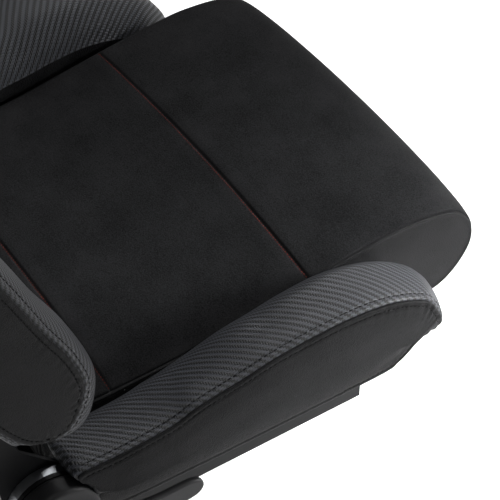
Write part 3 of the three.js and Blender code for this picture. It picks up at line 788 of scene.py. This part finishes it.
BACK_PAD = mirrored([(0, 498), (100, 498), (144, 495), (155, 482), (156, 432), (166, 408),
                     (183, 384), (185, 200), (184, 50), (170, 29), (110, 25), (0, 24)])
UPPER_PAD = mirrored([(0, 606), (96, 606), (134, 602), (153, 583), (156, 545), (154, 508),
                      (146, 503), (60, 502), (0, 502)])
HEADREST = mirrored([(0, 775), (60, 774), (95, 768), (115, 744), (127, 704), (138, 645),
                     (132, 620), (104, 613), (50, 612), (0, 612)])
REAR_COVER = mirrored([(0, 768), (60, 768), (98, 765), (117, 744), (127, 704), (180, 627),
                       (238, 576), (255, 520), (247, 450), (227, 380), (223, 200), (221, 44),
                       (205, 19), (120, 16), (0, 16)])
SHOULDER = [(188, 613), (232, 600), (264, 565), (279, 505), (272, 450), (256, 419), (215, 414),
            (178, 417), (163, 432), (162, 520), (164, 600)]
RECLINER_COVER = [(-300, 146.3), (-278, 139), (-265, 120), (-263.5, 98), (-263.5, 60),
                  (-271, 49), (-300, 48), (-329, 49), (-336.5, 60), (-336.5, 98), (-335, 120),
                  (-322, 139)]
LEVER = [(-311, 122), (-300, 127), (-286, 120), (-272, 108), (-245, 99), (-215, 94), (-184, 93),
         (-174, 87), (-173, 78), (-182, 71.5), (-205, 71.5), (-250, 82), (-292, 93), (-308, 95),
         (-316, 104), (-316, 114)]

cushion_pad()
bolster_piece("cushion_side_bolster", BOLSTER_OUTER, BOLSTER_INNER, BOLSTER_TIP,
              CUSHION_BOLSTER_PROFILE, seat, "seat_base", "cushion_bolster", 34, 70)
bolster_piece("back_side_bolster", BACK_BOLSTER_OUTER, BACK_BOLSTER_INNER, BACK_BOLSTER_TIP,
              BACK_BOLSTER_PROFILE, back, "backrest", "back_bolster", 34, None)
front_pad("back_pad", "back_center_pad", BACK_PAD, 11, (62, 52, 15), 92, SUEDE,
          half=220, channels=BACK_CHANNELS)
front_pad("upper_back_pad", "back_upper_pad", UPPER_PAD, 8, (40.5, 36, 15), 46, SUEDE,
          slotted=True)
front_pad("headrest_cushion", "headrest_pad", HEADREST, 9, (80, 66, 15), 60, SUEDE)
for side, sign in SIDES:
    front_pad(f"shoulder_cushion_{side}", f"shoulder_bolster_{side}", SHOULDER, 6, (87, 66, 15),
              42, TWILL, side=sign)
    slot_surround(side, sign)
    boxed_plate(f"recliner_shroud_{side}", f"recliner_cover_{side}", RECLINER_COVER, 6,
                (278.5, 257.9), 4.5, seat, "seat_base", PLASTIC, 26, sign)
    boxed_plate(f"recliner_handle_{side}", f"recliner_lever_{side}", LEVER, 8,
                (287.5, 281), 2.6, seat, "recline_release", PLASTIC, 9, sign)
cover = boxed_plate("back_shell", "back_rear_cover", REAR_COVER, 14, (-15.6, -28), 5,
                    back_front_view, "backrest", PANEL_VINYL, 120)
cut_slots(cover)


# ---- bare metal and plastic ----
for name, node in frame["nodes"].items():
    finish = STEEL
    if "rail" in name or "spring" in name or "disc" in name or name == "recliner_sync_rod":
        finish = ZINC
    if name.startswith(("recliner_cover", "recliner_lever", "harness_bezel")):
        finish = PLASTIC
    if name == "back_rear_cover" or "pad" in name or "bolster" in name:
        finish = PANEL_VINYL
    node.data.materials.clear()
    node.data.materials.append(finish)


# ---- floor, light, camera ----
def floor():
    """A pale studio floor, bright enough to read as white."""
    new, tree, shader = material("white studio floor", Roughness=0.9,
                                 Base_Color=linear("#f4f4f4"), Emission_Strength=0.68,
                                 Emission_Color=(1, 1, 1, 1))
    reach = 40.0
    corners = np.array([(-reach, -reach, 0), (reach, -reach, 0), (reach, reach, 0),
                        (-reach, reach, 0)]) + (0, 0, -0.001)
    mesh = bpy.data.meshes.new("studio_floor")
    mesh.from_pydata(corners, [], [(0, 1, 2, 3)])
    mesh.materials.append(new)
    piece = bpy.data.objects.new("studio_floor", mesh)
    bpy.context.scene.collection.objects.link(piece)


def softbox(name, position, target, size, power, spread):
    """A square area light aimed at a point, with its beam's spread in degrees."""
    light = bpy.data.lights.new(name, "AREA")
    light.shape, light.size, light.energy = "SQUARE", size, power
    light.spread = math.radians(spread)
    holder = bpy.data.objects.new(name, light)
    aim = (Vector(target) - Vector(position)).to_track_quat("-Z", "Y")
    holder.matrix_world = Matrix.Translation(position) @ aim.to_matrix().to_4x4()
    bpy.context.scene.collection.objects.link(holder)


floor()
softbox("near_softbox", (-0.62, -0.85, 0.36), (-0.26, -0.37, 0.11), 0.3, 1.2, 34)
softbox("front_softbox", (0.65, -1.35, 0.75), (-0.10, -0.30, 0.15), 0.8, 5.2, 180)
softbox("top_softbox", (0.50, -0.70, 1.20), (-0.23, -0.18, 0.17), 0.6, 0.9, 60)
sky = bpy.data.lights.new("overhead", "SUN")
sky.energy, sky.angle = 0.9, math.radians(60)
overhead = bpy.data.objects.new("overhead", sky)
bpy.context.scene.collection.objects.link(overhead)
world = bpy.data.worlds.new("studio")
world.use_nodes = True
world.node_tree.nodes["Background"].inputs["Color"].default_value = (1, 1, 1, 1)
world.node_tree.nodes["Background"].inputs["Strength"].default_value = 0.05
bpy.context.scene.world = world
bpy.context.scene.view_settings.view_transform = "Standard"

camera = bpy.data.cameras.new("camera")
camera.lens, camera.sensor_width = 144, 36
viewer = bpy.data.objects.new("camera", camera)
right, up, ahead = (Vector(v) for v in ((-0.5446, -0.8387, 0), (0.5961, -0.3871, 0.7034),
                                        (0.5899, -0.3831, -0.7108)))
turned = Matrix((right, up, -ahead)).transposed().to_4x4()
viewer.matrix_world = Matrix.Translation((-1.1708, 0.4695, 1.3978)) @ turned
bpy.context.scene.collection.objects.link(viewer)
bpy.context.scene.camera = viewer
